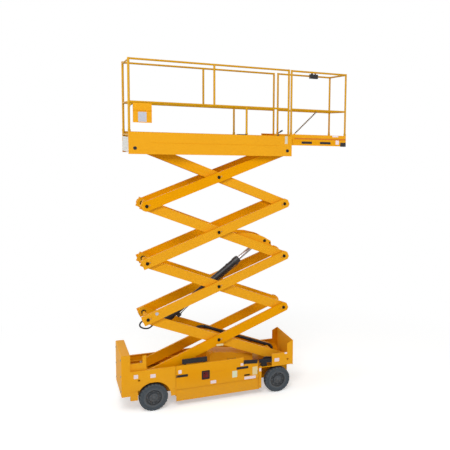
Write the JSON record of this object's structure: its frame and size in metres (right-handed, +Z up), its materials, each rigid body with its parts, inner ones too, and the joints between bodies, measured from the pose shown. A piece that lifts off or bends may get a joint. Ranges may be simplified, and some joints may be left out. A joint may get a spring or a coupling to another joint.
{
  "type": "electric slab scissor lift",
  "caption": "Self-propelled electric scissor lift with a crossed-arm stack, a railed platform and a roll-out deck extension.",
  "frame": {"origin": "centre of the whole machine on the floor under its tyres, platform raised and extension out", "axes": "+X along the machine towards the steered end, +Y across it to its far side, +Z up"},
  "size_m": [3.399, 0.81, 5.0629],
  "materials": {
    "yellow_paint": "semi-gloss",
    "grey_tyre": "matte",
    "grey_rim": "satin",
    "bright_rod": "polished",
    "black_paint": "satin",
    "black_plastic": "matte",
    "red_plastic": "satin",
    "nylon": "matte"
  },
  "bodies": {
    "chassis": {"chassis_frame": "yellow_paint", "scissor_mounts": "yellow_paint", "lower_tracks": "yellow_paint", "entry_end_plate": "yellow_paint", "rear_wheel_covers": "yellow_paint", "front_cover": "yellow_paint", "hinge_strips": "yellow_paint", "pump_cover": "yellow_paint", "batteries": "black_plastic", "front_axle": "black_paint", "rear_axle": "black_paint"},
    "near_cover": {"near_side_cover": "yellow_paint", "ground_controls": "red_plastic"},
    "far_cover": {"far_side_cover": "yellow_paint"},
    "near_guard": {"near_pothole_guard": "yellow_paint"},
    "far_guard": {"far_pothole_guard": "yellow_paint"},
    "near_knuckle": {"near_knuckle": "black_paint"},
    "far_knuckle": {"far_knuckle": "black_paint"},
    "near_front_wheel": {"near_front_tyre": "grey_tyre", "near_front_rim": "grey_rim"},
    "far_front_wheel": {"far_front_tyre": "grey_tyre", "far_front_rim": "grey_rim"},
    "near_rear_wheel": {"near_rear_tyre": "grey_tyre", "near_rear_rim": "grey_rim"},
    "far_rear_wheel": {"far_rear_tyre": "grey_tyre", "far_rear_rim": "grey_rim"},
    "stage_1_inner": {"stage_1_inner_frame": "yellow_paint"},
    "stage_1_outer": {"stage_1_outer_frame": "yellow_paint"},
    "stage_2_inner": {"stage_2_inner_frame": "yellow_paint"},
    "stage_2_outer": {"stage_2_outer_frame": "yellow_paint"},
    "stage_3_inner": {"stage_3_inner_frame": "yellow_paint"},
    "stage_3_outer": {"stage_3_outer_frame": "yellow_paint"},
    "stage_4_inner": {"stage_4_inner_frame": "yellow_paint"},
    "stage_4_outer": {"stage_4_outer_frame": "yellow_paint"},
    "lower_slides": {"lower_slides": "nylon"},
    "upper_slides": {"upper_slides": "nylon"},
    "cylinder_barrel": {"cylinder_barrel": "black_paint"},
    "cylinder_rod": {"cylinder_rod": "bright_rod"},
    "platform": {"platform_floor": "yellow_paint", "platform_tracks": "yellow_paint", "entry_sill": "yellow_paint", "platform_skirts": "yellow_paint", "platform_rails": "yellow_paint", "platform_box": "yellow_paint"},
    "gate": {"entry_gate": "yellow_paint"},
    "extension": {"extension_deck": "yellow_paint", "extension_rails": "yellow_paint"}
  },
  "joints": [
    {"name": "lift", "type": "hinge", "parent": "chassis", "child": "stage_1_inner", "pos_m": [0.7105, 0, 0.515], "axis": [0, 1, 0], "range_deg": [-18.2, 31.8]},
    {"name": "stage_1_cross", "type": "hinge", "parent": "stage_1_inner", "child": "stage_1_outer", "pos_m": [-0.30425, 0, 0.92911], "axis": [0, 1, 0], "range_deg": [-63.65, 36.45]},
    {"name": "stage_2_end", "type": "hinge", "parent": "stage_1_outer", "child": "stage_2_inner", "pos_m": [0.7105, 0, 1.34323], "axis": [0, 1, 0], "range_deg": [-36.45, 63.65]},
    {"name": "stage_2_cross", "type": "hinge", "parent": "stage_2_inner", "child": "stage_2_outer", "pos_m": [-0.30425, 0, 1.75734], "axis": [0, 1, 0], "range_deg": [-63.65, 36.45]},
    {"name": "stage_3_end", "type": "hinge", "parent": "stage_2_outer", "child": "stage_3_inner", "pos_m": [0.7105, 0, 2.17145], "axis": [0, 1, 0], "range_deg": [-36.45, 63.65]},
    {"name": "stage_3_cross", "type": "hinge", "parent": "stage_3_inner", "child": "stage_3_outer", "pos_m": [-0.30425, 0, 2.58557], "axis": [0, 1, 0], "range_deg": [-63.65, 36.45]},
    {"name": "stage_4_end", "type": "hinge", "parent": "stage_3_outer", "child": "stage_4_inner", "pos_m": [0.7105, 0, 2.99968], "axis": [0, 1, 0], "range_deg": [-36.45, 63.65]},
    {"name": "stage_4_cross", "type": "hinge", "parent": "stage_4_inner", "child": "stage_4_outer", "pos_m": [-0.30425, 0, 3.41379], "axis": [0, 1, 0], "range_deg": [-63.65, 36.45]},
    {"name": "platform_level", "type": "hinge", "parent": "stage_4_outer", "child": "platform", "pos_m": [0.7105, 0, 3.82791], "axis": [0, 1, 0], "range_deg": [-18.25, 31.85]},
    {"name": "lower_slide_level", "type": "hinge", "parent": "stage_1_outer", "child": "lower_slides", "pos_m": [-1.31901, 0, 0.515], "axis": [0, 1, 0], "range_deg": [-18.25, 31.85]},
    {"name": "upper_slide_level", "type": "hinge", "parent": "stage_4_inner", "child": "upper_slides", "pos_m": [-1.31901, 0, 3.82791], "axis": [0, 1, 0], "range_deg": [-31.85, 18.25]},
    {"name": "cylinder_tilt", "type": "hinge", "parent": "stage_1_inner", "child": "cylinder_barrel", "pos_m": [-1.04125, 0, 1.22988], "axis": [0, 1, 0], "range_deg": [-68.42, 39.18]},
    {"name": "cylinder_stroke", "type": "slide", "parent": "cylinder_barrel", "child": "cylinder_rod", "axis": [0.7785, 0, 0.6276], "range_m": [-0.3514, 0.6125]},
    {"name": "extension_slide", "type": "slide", "parent": "platform", "child": "extension", "axis": [1, 0, 0], "range_m": [-0.92, 0]},
    {"name": "gate_hinge", "type": "hinge", "parent": "platform", "child": "gate", "pos_m": [-1.54716, 0.335, 3.99591], "axis": [0, 0, 1], "range_deg": [0, 90]},
    {"name": "near_steer", "type": "hinge", "parent": "chassis", "child": "near_knuckle", "pos_m": [0.5955, -0.24, 0.2], "axis": [0, 0, 1], "range_deg": [-35, 35]},
    {"name": "far_steer", "type": "hinge", "parent": "chassis", "child": "far_knuckle", "pos_m": [0.5955, 0.24, 0.2], "axis": [0, 0, 1], "range_deg": [-35, 35]},
    {"name": "near_front_spin", "type": "hinge", "parent": "near_knuckle", "child": "near_front_wheel", "pos_m": [0.5955, -0.3425, 0.2], "axis": [0, 1, 0], "continuous": true},
    {"name": "far_front_spin", "type": "hinge", "parent": "far_knuckle", "child": "far_front_wheel", "pos_m": [0.5955, 0.3425, 0.2], "axis": [0, 1, 0], "continuous": true},
    {"name": "near_rear_spin", "type": "hinge", "parent": "chassis", "child": "near_rear_wheel", "pos_m": [-1.2645, -0.3425, 0.2], "axis": [0, 1, 0], "continuous": true},
    {"name": "far_rear_spin", "type": "hinge", "parent": "chassis", "child": "far_rear_wheel", "pos_m": [-1.2645, 0.3425, 0.2], "axis": [0, 1, 0], "continuous": true},
    {"name": "near_cover_hinge", "type": "hinge", "parent": "chassis", "child": "near_cover", "pos_m": [0.2815, -0.4, 0.275], "axis": [0, 0, 1], "range_deg": [0, 100]},
    {"name": "far_cover_hinge", "type": "hinge", "parent": "chassis", "child": "far_cover", "pos_m": [0.2815, 0.4, 0.275], "axis": [0, 0, -1], "range_deg": [0, 100]},
    {"name": "near_guard_lift", "type": "slide", "parent": "chassis", "child": "near_guard", "axis": [0, 0, 1], "range_m": [0, 0.1]},
    {"name": "far_guard_lift", "type": "slide", "parent": "chassis", "child": "far_guard", "axis": [0, 0, 1], "range_m": [0, 0.1]}
  ],
  "couplings": [
    {"joint": "stage_1_cross", "follows": "lift", "ratio": -2},
    {"joint": "stage_2_end", "follows": "lift", "ratio": 2},
    {"joint": "stage_2_cross", "follows": "lift", "ratio": -2},
    {"joint": "stage_3_end", "follows": "lift", "ratio": 2},
    {"joint": "stage_3_cross", "follows": "lift", "ratio": -2},
    {"joint": "stage_4_end", "follows": "lift", "ratio": 2},
    {"joint": "stage_4_cross", "follows": "lift", "ratio": -2},
    {"joint": "platform_level", "follows": "lift", "ratio": 1},
    {"joint": "lower_slide_level", "follows": "lift", "ratio": 1},
    {"joint": "upper_slide_level", "follows": "lift", "ratio": -1},
    {"joint": "cylinder_tilt", "follows": "lift", "ratio": -2.15},
    {"joint": "cylinder_stroke", "follows": "lift", "m_per_rad": 1.1},
    {"joint": "far_steer", "follows": "near_steer", "ratio": 1}
  ]
}
